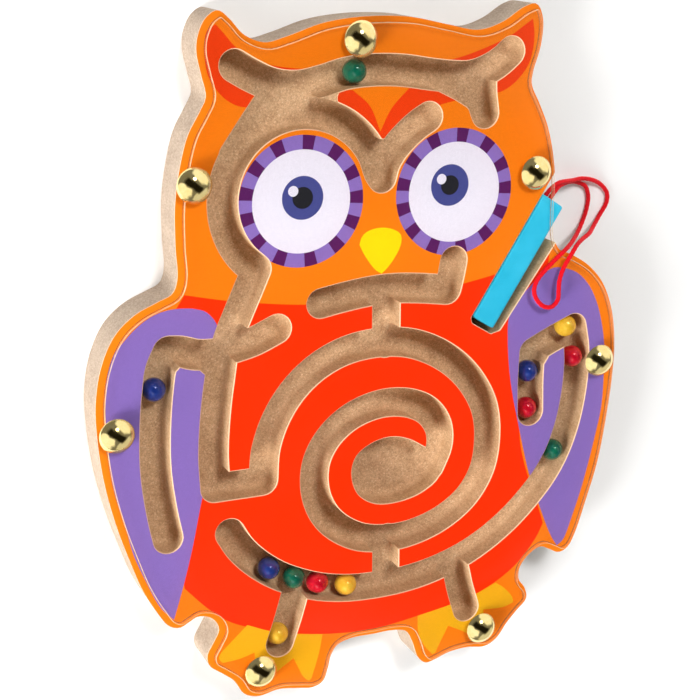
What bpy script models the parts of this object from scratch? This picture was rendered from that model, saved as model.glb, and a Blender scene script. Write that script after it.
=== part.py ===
"""Owl-shaped tilt maze game: a routed board with a printed face, a clear cover held by domed nails,
twelve steel balls in the channels, and a magnet pen on a wrist cord parked in its own slot.

The board lies flat on its back. +X is to the right of the face, +Y towards the ears, and +Z out of
the face. The origin is under the middle of the board's box, on the surface it lies on.
Lengths below are in millimetres and are turned into metres when a shape is made.
"""

import math

import bmesh
import bpy
from mathutils import Matrix, Vector

MM = 0.001

# Stack, from the back of the board to the cover's top.
BOARD_TOP = 11.6
FACE_BOTTOM = 11.7
FACE_TOP = 12.0
COVER_BOTTOM = 12.1
COVER_TOP = 13.6

# Routed maze.
CHANNEL_HALF_WIDTH = 4.0
CHANNEL_FLOOR = 5.2
CHANNEL_CORNER = 2.5
CUTTER_TOP = 20.0
PATH_STEP = 5.5
OUTLINE_STEP = 3.2

# Balls.
BALL_RADIUS = 3.175
BALL_HEIGHT = CHANNEL_FLOOR + BALL_RADIUS + 0.05

# Domed nails.
DOME_RADIUS = 4.7
DOME_HEIGHT = 2.7
DOME_WALL = 0.6
DOME_SEAT = COVER_TOP + 0.1
SHANK_RADIUS = 0.8
SHANK_TIP = 4.6
HOLE_RADIUS = 1.25
HOLE_FLOOR = 3.6

# Cover.
COVER_INSET = 1.5
COVER_SHIFT = 0.4

# Magnet pen in its slot.
PEN_FOOT = (33.44, 7.08)
PEN_ANGLE = math.radians(57.2)
PEN_LENGTH = 38.9
PEN_WIDTH = 7.8
PEN_HEIGHT = 7.0
PEN_BOTTOM = 4.6
PEN_EDGE = 0.8
SLOT_FLOOR = 4.3
MAGNET_RADIUS = 2.4
MAGNET_LENGTH = 4.0
MAGNET_GAP = 0.3
CORD_HOLE_RADIUS = 2.1
CORD_HOLE_DEPTH = 6.0
CORD_RADIUS = 0.65
CORD_SPACING = 1.7

# Outline of the board, clockwise from the top of the head.
OUTLINE = [
    (0, 91.6), (10, 91), (20, 88.9), (29.5, 87.1), (36.5, 88.9), (43, 92.6), (46.6, 93.2),
    (48.6, 89.5), (48.3, 82.5), (46.2, 75.5), (45.9, 72.3), (48.6, 66.8), (51.3, 60.8),
    (53.3, 53.5), (54.5, 45), (54.5, 36), (54.9, 29.5), (56.6, 26), (60.5, 24.2), (66.5, 20.4),
    (71.5, 14.8), (75, 6.5), (76.6, -4), (76.4, -14), (75.3, -25), (72.9, -40), (69.6, -51.5),
    (66.2, -61.8), (64, -65.7), (61, -66.9), (57.5, -65.2), (54.5, -63.9), (51, -65.6),
    (47.9, -69.3), (47.6, -73.2), (49.7, -76.3), (50.4, -80), (47.2, -83.4), (44, -86.8),
    (40.6, -91.2), (36.8, -92.9), (31, -92), (25, -92.3), (20, -93.8), (17.4, -94.2),
    (14.8, -91.8), (12.9, -86.4), (10.8, -82.6), (6.5, -81.4), (0, -81.3), (-6.5, -81.2),
    (-10.6, -82.4), (-12.6, -85.2), (-13.6, -89), (-15.2, -93), (-18.5, -94.2), (-22.5, -93.5),
    (-28.5, -92.5), (-34.8, -93.3), (-38.8, -91.6), (-41.6, -87), (-45.2, -83.8), (-48.6, -80.8),
    (-49.1, -77.6), (-47.2, -74), (-45.6, -70.4), (-47.4, -66.8), (-51.5, -65.4), (-54, -66.5),
    (-56.8, -67.7), (-59.8, -66.4), (-62.5, -62.4), (-66.3, -55), (-69.8, -45), (-72.9, -34.5),
    (-75.4, -22.5), (-76.6, -10), (-76.5, -1), (-74.6, 8.2), (-70.8, 15.8), (-65.5, 20.5),
    (-59.5, 23.2), (-55.6, 25), (-54.2, 28.5), (-54.4, 37), (-54.2, 47), (-52.8, 56),
    (-50.4, 64.4), (-47.2, 70), (-45.5, 73.6), (-46.5, 78.8), (-47.6, 84.5), (-47.1, 88.6),
    (-45, 92.6), (-41.9, 94.3), (-39, 92.2), (-35.4, 88.3), (-30, 86.2), (-24.5, 87.3),
    (-15, 90.2), (-7.5, 91.3),
]

# The channel round the left eye is an arc: centre, radius, and its start and end in degrees.
EYE_ARC = ((-20.0, 46.4), 21.8, 233, 14)


def arc_points(centre, radius, start, end, count):
    angles = [math.radians(start + (end - start) * i / (count - 1)) for i in range(count)]
    return [(centre[0] + radius * math.cos(a), centre[1] + radius * math.sin(a)) for a in angles]


# Centre lines of the routed channels. Each one is a single pass of a round-nosed cutter, so passes
# that meet at a sharp corner share their end point.
CHANNELS = {
    "brow": [(-37.9, 80.9), (-33.5, 78.3), (-28, 75.8), (-21.5, 74.9), (-15, 75.9), (-8, 77.6),
             (0, 78.1), (8, 77.6), (15, 76.4), (21.5, 75.5), (27.5, 75.3), (33, 76.9),
             (36.8, 79), (39.4, 81.1)],
    "brow_stub": [(31.2, 75.5), (31.3, 70.5), (32.1, 65.2)],
    "brow_left_join": [(-38.4, 58.6), (-34.5, 64), (-30.5, 69.4), (-26, 74.6)],
    "brow_right_join": [(20, 75.4), (26, 72.3), (30.2, 69.3), (32.1, 65.2)],
    "eye_arc": arc_points(*EYE_ARC, 17) + [(2.2, 50.2)],
    "forehead_arm": [(2.2, 50.2), (3.2, 53.6), (5.6, 57.4), (9.2, 61), (12.6, 63.6), (15.4, 65.2)],
    "neck": [(-33.2, 28.8), (-35.4, 24), (-38.2, 18), (-40.8, 12.2), (-42, 8.5)],
    "shoulder": [(-41.5, 8.2), (-46, 7.9), (-50, 8.3), (-54, 9.6), (-57.2, 10)],
    "left_wing": [(-57.2, 10), (-59.3, 5.5), (-60.3, 0), (-61.1, -7), (-61.6, -15), (-61.6, -22),
                  (-61, -29), (-60, -36), (-59, -41.4)],
    "shoulder_stub": [(-41.5, 8.4), (-34, 10), (-27.7, 12.5)],
    "left_side": [(-42.5, 8.5), (-43.5, 2), (-44.6, -5), (-45.4, -12), (-45.9, -20),
                  (-45.6, -29.1)],
    "left_foot_turn": [(-45.6, -29.1), (-32.1, -29.3)],
    "spiral": [(-32.1, -29.3), (-31.3, -20.5), (-28.2, -12), (-23, -4.6), (-16, 1), (-7.6, 4.4),
               (3, 5.3), (12.2, 3.7), (21.8, -1.2), (29.2, -8.2), (34.2, -17), (35.6, -26),
               (34.2, -36), (29.5, -43.6), (21.8, -49), (12.5, -51.9), (4, -52.2), (-5, -50),
               (-13, -43.9), (-16.9, -36), (-17, -27), (-13.6, -20.2), (-7, -14.8), (2, -12.2),
               (10.5, -13), (16.6, -16.2), (20, -21.3), (20.4, -27), (18, -33)],
    "chin": [(-15.2, 18.1), (-8, 19.2), (0, 20), (6, 20), (13, 19.3), (22, 17.9)],
    "chin_stub": [(22, 17.9), (22.9, 21.5), (23.7, 25.8)],
    "chin_link": [(3.7, 20), (3.7, 5)],
    "belly_link": [(4.2, -52), (4.2, -66)],
    "belly": [(-41.9, -42.6), (-39, -47.6), (-34.6, -52.6), (-28.6, -57.4), (-22, -61),
              (-15, -63.7), (-7.5, -65.4), (0.5, -66.1), (8.5, -66.1), (16, -65.3), (24, -63.4),
              (31, -60.8), (38, -57), (44.5, -52.3), (50.5, -46.6), (55.2, -41), (59, -34.4),
              (61.8, -26.5), (63.4, -18.5), (64.1, -10.5), (63.9, -4), (62.6, 2.6)],
    "right_shoulder": [(62.6, 2.6), (56, 0), (49.3, -3)],
    "right_wing": [(49.3, -3), (49.1, -12), (49.4, -21.1)],
    "left_foot_stub": [(-22.8, -62), (-25.3, -70.5), (-28, -78.4)],
    "right_foot_stub": [(26.2, -64), (28, -72), (30.2, -79.2)],
}

# Flat pocket that the spiral ends in.
POCKET = [(-6.3, -31), (-4.8, -26.3), (0, -23.2), (5.5, -22.3), (10.5, -23.6), (15, -26.3),
          (20, -30), (20.5, -36), (15, -40.2), (6.5, -41.9), (0, -40.9), (-4.6, -37.2)]

# Pen slot, as (along the pen from its foot, across it from its left side).
SLOT = [(-1.5, 0.7), (-0.6, -0.5), (60, -0.5), (60, 12.4), (27, 10.9), (0.6, 9.6), (-1.4, 7.6)]

DOMES = [(-4.7, 86.2), (-49.6, 52.3), (47.4, 48.4), (-71.9, -10.1), (70.6, -7.8),
         (-34.3, -84.9), (34.5, -85.7)]

BALLS = {
    "ball_green_1": (-4.3, 77.6), "ball_blue_1": (-60.4, -0.8), "ball_blue_2": (-29.8, -56.7),
    "ball_green_2": (-22.4, -60.8), "ball_red_1": (-15.3, -63.6), "ball_yellow_1": (-6.7, -65.9),
    "ball_yellow_2": (-27.5, -77), "ball_yellow_3": (61.9, 2.3), "ball_red_2": (64.5, -7.2),
    "ball_blue_3": (49.7, -9.8), "ball_red_3": (49.8, -20.9), "ball_green_3": (59.2, -35.2),
}

# Route of the wrist cord between its two ends in the pen, as (x, y, z).
CORD_ROUTE = [
    (58.6, 42.6, 7.2), (61.8, 42.9, 5), (65, 42.7, 2.6), (68.5, 42, 1), (71.3, 40.6, 0.8),
    (72.5, 37.6, 0.7), (72.1, 33.7, 0.7), (70.2, 29.6, 1.3), (67.2, 28, 4.2), (63.6, 27.6, 8.4),
    (59.9, 27.1, 12.4), (56.9, 26, 14.4), (54.5, 24.2, 14.5), (50.8, 20.9, 14.4),
    (48.4, 18.2, 14.4), (47.7, 15.5, 14.4), (48.7, 12.8, 14.4), (51.1, 10.6, 14.4),
    (53.6, 10.3, 14.4), (55.4, 12, 14.4), (55.6, 14.7, 14.4), (55.7, 17.4, 14.4),
    (56.8, 20.9, 14.4), (59.1, 24.7, 14.5), (61.7, 27, 13.2), (65, 27.8, 10.6), (68.6, 28.4, 8),
    (72.7, 28.9, 3.5), (76.4, 31.6, 0.9), (78.8, 35.3, 0.7), (78.8, 38, 0.7), (76.4, 40.8, 0.8),
    (72.6, 42.6, 1.9), (68.5, 43.4, 2.9), (65, 43.4, 4.3), (61.5, 43.8, 6.4), (57.8, 43.7, 7.9),
]

COLOURS = {
    "mdf": (0.36, 0.22, 0.13), "print": (0.95, 0.25, 0.02), "clear": (0.9, 0.92, 0.93),
    "brass": (0.83, 0.62, 0.2), "cyan": (0.05, 0.6, 0.85), "steel": (0.4, 0.4, 0.42),
    "cord": (0.75, 0.02, 0.03), "green": (0.02, 0.18, 0.11), "blue": (0.02, 0.05, 0.25),
    "red": (0.65, 0.01, 0.03), "yellow": (0.85, 0.6, 0.02),
}


def clear_scene():
    for obj in list(bpy.data.objects):
        bpy.data.objects.remove(obj)
    for mesh in list(bpy.data.meshes):
        bpy.data.meshes.remove(mesh)


def new_collection(name, helper=False):
    group = bpy.data.collections.new(name)
    bpy.context.scene.collection.children.link(group)
    group.hide_render = helper
    return group


def material(name):
    found = bpy.data.materials.get(name)
    if found:
        return found
    found = bpy.data.materials.new(name)
    found.use_nodes = True
    shader = found.node_tree.nodes["Principled BSDF"]
    shader.inputs["Base Color"].default_value = (*COLOURS[name], 1)
    shader.inputs["Metallic"].default_value = 1.0 if name in ("brass", "steel") else 0.0
    shader.inputs["Roughness"].default_value = 0.25 if name in ("brass", "clear") else 0.45
    return found


def smooth_path(points, step, closed=False):
    """A centripetal Catmull-Rom curve through the points, with a point about every step."""
    nodes = [Vector(point) for point in points]
    count = len(nodes)
    path = []
    for i in range(count if closed else count - 1):
        b, c = nodes[i], nodes[(i + 1) % count]
        a = nodes[i - 1] if closed or i > 0 else 2 * b - c
        d = nodes[(i + 2) % count] if closed or i + 2 < count else 2 * c - b
        t1 = (b - a).length ** 0.5
        t2 = t1 + (c - b).length ** 0.5
        t3 = t2 + (d - c).length ** 0.5
        pieces = max(1, round((c - b).length / step))
        for j in range(pieces):
            t = t1 + (t2 - t1) * j / pieces
            ab = a.lerp(b, t / t1)
            bc = b.lerp(c, (t - t1) / (t2 - t1))
            cd = c.lerp(d, (t - t2) / (t3 - t2))
            path.append(ab.lerp(bc, t / t2).lerp(bc.lerp(cd, (t - t1) / (t3 - t1)), (t - t1) / (t2 - t1)))
    if not closed:
        path.append(nodes[-1])
    return path


def normals_of(path, closed=False):
    """The unit normal on the left of the path at each of its points."""
    count = len(path)
    found = []
    for i in range(count):
        before = path[i - 1] if closed or i > 0 else path[i]
        after = path[(i + 1) % count] if closed or i + 1 < count else path[i]
        along = (after - before).normalized()
        found.append(Vector((-along.y, along.x)))
    return found


def stroke_outline(path, radius, cap_steps=5):
    """The outline of a round pen of this radius drawn along the path."""
    sides = normals_of(path)
    outline = [p + n * radius for p, n in zip(path, sides)]
    for end, side in ((path[-1], sides[-1]), (None, None), (path[0], -sides[0])):
        if end is None:
            outline += [p - n * radius for p, n in zip(reversed(path), reversed(sides))]
            continue
        start = math.atan2(side.y, side.x)
        for i in range(1, cap_steps):
            turn = start - math.pi * i / cap_steps
            outline.append(end + radius * Vector((math.cos(turn), math.sin(turn))))
    return outline


def finish_mesh(name, shape, group, slot=None):
    mesh = bpy.data.meshes.new(name)
    bmesh.ops.recalc_face_normals(shape, faces=shape.faces)
    shape.to_mesh(mesh)
    shape.free()
    obj = bpy.data.objects.new(name, mesh)
    group.objects.link(obj)
    if slot:
        mesh.materials.append(material(slot))
    return obj


def loft(name, rings, group, slot=None):
    """A closed solid through rings of equal point count, each given as 3D points."""
    shape = bmesh.new()
    rows = [[shape.verts.new(Vector(point) * MM) for point in ring] for ring in rings]
    for low, high in zip(rows, rows[1:]):
        for i in range(len(low)):
            j = (i + 1) % len(low)
            shape.faces.new((low[i], low[j], high[j], high[i]))
    shape.faces.new(rows[0][::-1])
    shape.faces.new(rows[-1])
    return finish_mesh(name, shape, group, slot)


def slab(name, outline, bottom, top, group, slot=None):
    """A flat sheet with this outline, made as a filled 2D curve and turned into a mesh."""
    curve = bpy.data.curves.new(name, "CURVE")
    curve.dimensions = "2D"
    curve.fill_mode = "BOTH"
    curve.extrude = (top - bottom) / 2 * MM
    spline = curve.splines.new("POLY")
    spline.points.add(len(outline) - 1)
    for point, place in zip(spline.points, outline):
        point.co = (place[0] * MM, place[1] * MM, 0, 1)
    spline.use_cyclic_u = True
    flat = bpy.data.objects.new(name + "_curve", curve)
    flat.location.z = (top + bottom) / 2 * MM
    group.objects.link(flat)
    bpy.context.view_layer.update()
    graph = bpy.context.evaluated_depsgraph_get()
    mesh = bpy.data.meshes.new_from_object(flat.evaluated_get(graph))
    shape = bmesh.new()
    shape.from_mesh(mesh)
    bmesh.ops.remove_doubles(shape, verts=shape.verts, dist=1e-6)
    bmesh.ops.transform(shape, matrix=flat.matrix_world, verts=shape.verts)
    bpy.data.objects.remove(flat)
    bpy.data.meshes.remove(mesh)
    return finish_mesh(name, shape, group, slot)


def cylinder(name, radius, bottom, top, centre, group, sides=20):
    ring = [(centre[0] + radius * math.cos(2 * math.pi * i / sides),
             centre[1] + radius * math.sin(2 * math.pi * i / sides)) for i in range(sides)]
    return loft(name, [[(x, y, z) for x, y in ring] for z in (bottom, top)], group)


def cut(obj, cutter):
    boolean = obj.modifiers.new("cut_" + cutter.name, "BOOLEAN")
    boolean.operation = "DIFFERENCE"
    boolean.solver = "EXACT"
    boolean.object = cutter
    cutter.hide_render = True
    cutter.display_type = "WIRE"


def channel_cutter(name, points, group):
    """A pass of a round-nosed cutter: the stroke narrows towards the floor along a quarter circle."""
    path = smooth_path(points, PATH_STEP)
    corner = CHANNEL_CORNER
    rings = []
    for drop in (90, 45, 0):
        turn = math.radians(drop)
        radius = CHANNEL_HALF_WIDTH - corner * (1 - math.cos(turn))
        height = CHANNEL_FLOOR + corner * (1 - math.sin(turn))
        rings.append([(p.x, p.y, height) for p in stroke_outline(path, radius)])
    rings.append([(x, y, CUTTER_TOP) for x, y, _ in rings[-1]])
    return loft(name, rings, group)


def polygon_cutter(name, outline, floor, group):
    return loft(name, [[(p[0], p[1], z) for p in outline] for z in (floor, CUTTER_TOP)], group)


def pen_point(along, across):
    """A point in the board's plane from its distance along the pen and across it, rightwards."""
    ahead = Vector((math.cos(PEN_ANGLE), math.sin(PEN_ANGLE)))
    right = Vector((ahead.y, -ahead.x))
    return Vector(PEN_FOOT) + ahead * along + right * (across - PEN_WIDTH / 2)


def cover_outline(board):
    """The board's outline drawn in by the inset and moved right by the shift."""
    sides = normals_of(board, closed=True)
    return [p - n * COVER_INSET + Vector((COVER_SHIFT, 0)) for p, n in zip(board, sides)]


def dome_nail(name, centre, group):
    """A hollow dome with its shank, turned in one piece: a Screw of half its section."""
    sphere = (DOME_RADIUS ** 2 + DOME_HEIGHT ** 2) / (2 * DOME_HEIGHT)
    middle = DOME_SEAT + DOME_HEIGHT - sphere
    inner = sphere - DOME_WALL
    widest = math.asin(DOME_RADIUS / sphere)
    inner_rim = math.acos((DOME_SEAT - middle) / inner)
    inner_top = math.asin(SHANK_RADIUS / inner)
    profile = [(sphere * math.sin(widest * i / 5), middle + sphere * math.cos(widest * i / 5))
               for i in range(6)]
    for i in range(4):
        turn = inner_rim + (inner_top - inner_rim) * i / 3
        profile.append((inner * math.sin(turn), middle + inner * math.cos(turn)))
    profile += [(SHANK_RADIUS, SHANK_TIP + 1.6), (0, SHANK_TIP)]
    mesh = bpy.data.meshes.new(name)
    mesh.from_pydata([(x * MM, 0, z * MM) for x, z in profile],
                     [(i, i + 1) for i in range(len(profile) - 1)], [])
    obj = bpy.data.objects.new(name, mesh)
    obj.location = (centre[0] * MM, centre[1] * MM, 0)
    mesh.materials.append(material("brass"))
    group.objects.link(obj)
    screw = obj.modifiers.new("turn", "SCREW")
    screw.axis = "Z"
    screw.angle = 2 * math.pi
    screw.steps = screw.render_steps = 20
    screw.use_merge_vertices = True
    screw.merge_threshold = 0.00001
    return obj


def ball(name, centre, group):
    shape = bmesh.new()
    bmesh.ops.create_icosphere(shape, subdivisions=3, radius=BALL_RADIUS * MM)
    obj = finish_mesh(name, shape, group, name.split("_")[1])
    obj.location = (centre[0] * MM, centre[1] * MM, BALL_HEIGHT * MM)
    return obj


def pen_matrix():
    """Puts +X along the pen from its foot, +Y to its left and +Z up, with the origin in the foot."""
    foot = Vector((PEN_FOOT[0], PEN_FOOT[1], PEN_BOTTOM + PEN_HEIGHT / 2)) * MM
    return Matrix.Translation(foot) @ Matrix.Rotation(PEN_ANGLE, 4, "Z")


def pen_cylinder(name, radius, start, end, group, slot=None, sides=20):
    """A round bar along the pen's axis, from start to end."""
    ring = [(radius * math.cos(2 * math.pi * i / sides), radius * math.sin(2 * math.pi * i / sides))
            for i in range(sides)]
    obj = loft(name, [[(x, y, z) for y, z in ring] for x in (start, end)], group, slot)
    obj.matrix_world = pen_matrix()
    return obj


def pen(group, cutters):
    half = PEN_WIDTH / 2
    shape = bmesh.new()
    bmesh.ops.create_cube(shape, size=1)
    bmesh.ops.scale(shape, vec=Vector((PEN_LENGTH, PEN_WIDTH, PEN_HEIGHT)) * MM, verts=shape.verts)
    bmesh.ops.translate(shape, vec=Vector((PEN_LENGTH / 2, 0, 0)) * MM, verts=shape.verts)
    body = finish_mesh("pen_body", shape, group, "cyan")
    body.matrix_world = pen_matrix()
    edge = body.modifiers.new("soft_edges", "BEVEL")
    edge.width = PEN_EDGE * MM
    edge.segments = 2
    edge.limit_method = "ANGLE"
    reach = MAGNET_RADIUS + MAGNET_GAP
    cut(body, pen_cylinder("magnet_pocket", reach, -1, MAGNET_LENGTH + MAGNET_GAP, cutters))
    cut(body, pen_cylinder("cord_hole", CORD_HOLE_RADIUS, PEN_LENGTH - CORD_HOLE_DEPTH,
                           PEN_LENGTH + half, cutters))
    pen_cylinder("pen_magnet", MAGNET_RADIUS, 0.1, MAGNET_LENGTH, group, "steel")


def wrist_cord(group):
    """One cord whose two ends sit side by side in the hole in the pen's end."""
    height = PEN_BOTTOM + PEN_HEIGHT / 2
    half = CORD_SPACING / 2
    inside, outside = PEN_LENGTH - CORD_HOLE_DEPTH + 1, PEN_LENGTH + 1.5
    ends = [pen_point(along, PEN_WIDTH / 2 + side) for side, along in
            ((half, inside), (half, outside), (-half, outside), (-half, inside))]
    ends = [(p.x, p.y, height) for p in ends]
    route = smooth_path(ends[:2] + CORD_ROUTE + ends[2:], 1.8)
    curve = bpy.data.curves.new("wrist_cord", "CURVE")
    curve.dimensions = "3D"
    curve.bevel_depth = CORD_RADIUS * MM
    curve.bevel_resolution = 1
    curve.use_fill_caps = True
    spline = curve.splines.new("POLY")
    spline.points.add(len(route) - 1)
    for point, place in zip(spline.points, route):
        point.co = (place[0] * MM, place[1] * MM, place[2] * MM, 1)
    obj = bpy.data.objects.new("wrist_cord", curve)
    curve.materials.append(material("cord"))
    group.objects.link(obj)


def build():
    clear_scene()
    parts = new_collection("tilt_maze_game")
    cutters = new_collection("cutters", helper=True)
    board = smooth_path(OUTLINE, OUTLINE_STEP, closed=True)
    base = slab("base_board", board, 0, BOARD_TOP, parts, "mdf")
    sheet = slab("face_sheet", board, FACE_BOTTOM, FACE_TOP, parts, "print")
    cover = slab("clear_cover", cover_outline(board), COVER_BOTTOM, COVER_TOP, parts, "clear")
    tools = [channel_cutter(name, points, cutters) for name, points in CHANNELS.items()]
    tools.append(polygon_cutter("pocket", smooth_path(POCKET, 3, closed=True), CHANNEL_FLOOR, cutters))
    tools.append(polygon_cutter("slot", [pen_point(*spot) for spot in SLOT], SLOT_FLOOR, cutters))
    for i, centre in enumerate(DOMES):
        hole = cylinder(f"hole_{i + 1}", HOLE_RADIUS, HOLE_FLOOR, CUTTER_TOP, centre, cutters, 16)
        tools.append(hole)
        cut(cover, hole)
        dome_nail(f"dome_nail_{i + 1}", centre, parts)
    for tool in tools:
        cut(base, tool)
        cut(sheet, tool)
    for name, centre in BALLS.items():
        ball(name, centre, parts)
    pen(parts, cutters)
    wrist_cord(parts)


build()
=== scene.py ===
import math

import bpy
import numpy as np
from mathutils import Matrix, Vector
from mathutils.geometry import delaunay_2d_cdt


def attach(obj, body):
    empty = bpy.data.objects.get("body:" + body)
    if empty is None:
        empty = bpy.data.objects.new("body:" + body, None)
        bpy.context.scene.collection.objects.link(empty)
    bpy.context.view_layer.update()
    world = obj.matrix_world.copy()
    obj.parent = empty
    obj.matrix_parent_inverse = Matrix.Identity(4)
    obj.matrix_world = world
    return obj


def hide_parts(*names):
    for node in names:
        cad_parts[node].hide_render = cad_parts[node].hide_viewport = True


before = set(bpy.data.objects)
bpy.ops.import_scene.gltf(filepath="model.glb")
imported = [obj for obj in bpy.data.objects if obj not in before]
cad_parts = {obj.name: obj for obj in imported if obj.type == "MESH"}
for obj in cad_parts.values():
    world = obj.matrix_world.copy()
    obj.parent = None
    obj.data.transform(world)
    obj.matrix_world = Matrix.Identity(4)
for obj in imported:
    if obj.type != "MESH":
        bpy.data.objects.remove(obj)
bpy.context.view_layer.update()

mm = 0.001
scene = bpy.context.scene
print("frame loaded")

# Plan sizes below are in millimetres, on the board's own frame.

# ---- camera

camera = {"place": (-163.94, 125.12, 370.39), "ahead": (0.38340, -0.29502, -0.87520),
          "up": (0.11664, 0.95549, -0.27098), "lens": 78.87}


def setCamera():
    ahead, up = Vector(camera["ahead"]).normalized(), Vector(camera["up"])
    side = ahead.cross(up).normalized()
    up = side.cross(ahead)
    lens = bpy.data.cameras.new("camera")
    lens.lens, lens.sensor_width = camera["lens"], 36
    lens.clip_start, lens.clip_end = 0.01, 10
    eye = bpy.data.objects.new("camera", lens)
    turn = Matrix((side, up, -ahead)).transposed()
    eye.matrix_world = Matrix.Translation(Vector(camera["place"]) * mm) @ turn.to_4x4()
    scene.collection.objects.link(eye)
    scene.camera = eye


setCamera()

# ---- curves and meshes shared by the pieces


def evenly(dense, step, closed):
    # Points along a dense line at equal arc lengths of about one step.
    line = np.vstack([dense, dense[:1]]) if closed else dense
    run = np.r_[0, np.cumsum(np.linalg.norm(np.diff(line, axis=0), axis=1))]
    count = max(2, int(round(run[-1] / step)))
    at = np.linspace(0, run[-1], count + 1)
    made = np.stack([np.interp(at, run, line[:, k]) for k in range(line.shape[1])], 1)
    return made[:-1] if closed else made


def smoothLine(points, step, closed=False):
    # A centripetal Catmull-Rom curve through the points: each span blends three chords of four
    # points.
    p = np.asarray(points, float)
    ends = (p[-1:], p[:2]) if closed else (2 * p[:1] - p[1:2], 2 * p[-1:] - p[-2:-1])
    ring = np.vstack([ends[0], p, ends[1]])
    a, b, c, d = ring[:-3, None], ring[1:-2, None], ring[2:-1, None], ring[3:, None]
    gap = [np.linalg.norm(n - m, axis=2, keepdims=True) ** 0.5 for m, n in ((a, b), (b, c), (c, d))]
    t1, t2, t3 = gap[0], gap[0] + gap[1], gap[0] + gap[1] + gap[2]
    t = t1 + (t2 - t1) * np.linspace(0, 1, 20, endpoint=False)[None, :, None]
    ab = a + (b - a) * t / t1
    bc = b + (c - b) * (t - t1) / (t2 - t1)
    cd = c + (d - c) * (t - t2) / (t3 - t2)
    abc = ab + (bc - ab) * t / t2
    bcd = bc + (cd - bc) * (t - t1) / (t3 - t1)
    dense = (abc + (bcd - abc) * (t - t1) / (t2 - t1)).reshape(-1, p.shape[1])
    return evenly(dense if closed else np.vstack([dense, p[-1:]]), step, closed)


def cornered(arcs, step):
    # A closed outline of smooth arcs that meet at corners.
    return np.vstack([smoothLine(arc, step)[:-1] for arc in arcs])


def leftOf(line, closed=False):
    # The unit normal on the left of a line at each of its points.
    if closed:
        along = np.roll(line, -1, 0) - np.roll(line, 1, 0)
    else:
        along = np.gradient(line, axis=0)
    along /= np.linalg.norm(along, axis=1, keepdims=True)
    return np.stack([-along[:, 1], along[:, 0]], 1)


def circle(centre, radius, count):
    turn = np.linspace(0, 2 * math.pi, count, endpoint=False)
    return np.asarray(centre) + radius * np.stack([np.cos(turn), np.sin(turn)], 1)


def buildMesh(name, points, faces, body, slot, materials, which=None, sharp=None):
    # points in millimetres; faces is a list of index arrays; which gives each face's material.
    mesh = bpy.data.meshes.new(name)
    rows = [row for block in faces for row in np.asarray(block).tolist()]
    mesh.from_pydata((np.asarray(points, float) * mm).tolist(), [], rows)
    for each in materials:
        mesh.materials.append(each)
    if which is not None:
        mesh.polygons.foreach_set("material_index", np.asarray(which, np.int32))
    mesh.polygons.foreach_set("use_smooth", np.full(len(mesh.polygons), sharp != 0))
    if sharp:
        mesh.set_sharp_from_angle(angle=math.radians(sharp))
    mesh.validate()
    mesh.update()
    piece = bpy.data.objects.new(name, mesh)
    scene.collection.objects.link(piece)
    if body:
        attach(piece, body)
    return piece


def gridFaces(rows, columns, closeRows=False, closeColumns=False):
    # Quads between neighbouring rows of points, wrapped round where asked.
    i = np.arange(rows if closeRows else rows - 1)[:, None]
    j = np.arange(columns if closeColumns else columns - 1)[None, :]
    nextRow, nextColumn = (i + 1) % rows * columns, (j + 1) % columns
    return np.stack([i * columns + j, i * columns + nextColumn, nextRow + nextColumn,
                     nextRow + j], -1).reshape(-1, 4)


def closedRings(rings, first, last):
    # Rings of equal count skinned in order, with each end drawn in to a point.
    count, around = rings.shape[:2]
    ring = np.arange(around)
    after, tip, end = (ring + 1) % around, np.full(around, count * around), (count - 1) * around
    return np.vstack([rings.reshape(-1, 3), [first, last]]), [
        gridFaces(count, around, closeColumns=True), np.stack([tip, after, ring], 1),
        np.stack([tip + 1, ring + end, after + end], 1)]


def lathe(profile, centre, turns):
    # A surface of revolution: each profile point (radius, height) goes round the upright axis.
    # The profile starts and ends on the axis.
    profile = np.asarray(profile, float)
    turn = np.linspace(0, 2 * math.pi, turns, endpoint=False)
    radius, height = profile[1:-1, :1], profile[1:-1, 1:]
    rings = np.stack([centre[0] + radius * np.cos(turn), centre[1] + radius * np.sin(turn),
                      np.repeat(height, turns, 1)], -1)
    return closedRings(rings, (*centre, profile[0, 1]), (*centre, profile[-1, 1]))


# ---- shader helpers


def linear(colour):
    # sRGB in 0..255 to the linear values a shader takes.
    c = np.asarray(colour, float) / 255
    return tuple(np.where(c < 0.04045, c / 12.92, ((c + 0.055) / 1.055) ** 2.4)) + (1.0,)


def addNode(tree, kind, links=(), **values):
    # A shader node with its settings, input values by socket name, and links as (socket, source).
    # A node given as a source stands for its first output.
    made = tree.nodes.new("ShaderNode" + kind)
    for key, value in values.items():
        if key[0].islower() and hasattr(made, key):
            setattr(made, key, value)
        else:
            made.inputs[key.replace("_", " ")].default_value = value
    for socket, source in links:
        tree.links.new(getattr(source, "outputs", [source])[0], made.inputs[socket])
    return made


def newMaterial(name):
    # A material with its empty tree, and the place on the piece that its patterns are read from.
    made = bpy.data.materials.new(name)
    made.use_nodes = True
    made.node_tree.nodes.clear()
    return made, made.node_tree, addNode(made.node_tree, "TexCoord").outputs["Object"]


def finishMaterial(made, shader):
    tree = made.node_tree
    tree.links.new(shader.outputs[0], addNode(tree, "OutputMaterial").inputs["Surface"])
    return made


def newGroup(name, takes, gives):
    # A node group with its sockets made, each given as name and kind.
    tree = bpy.data.node_groups.new(name, "ShaderNodeTree")
    for way, sockets in (("INPUT", takes), ("OUTPUT", gives)):
        for socket, kind in sockets.items():
            tree.interface.new_socket(socket, in_out=way, socket_type="NodeSocket" + kind)
    return (tree, tree.nodes.new("NodeGroupInput").outputs,
            tree.nodes.new("NodeGroupOutput").inputs)


def placeGroup(tree, group, links, **values):
    return addNode(tree, "Group", links, node_tree=group, **values)


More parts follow.
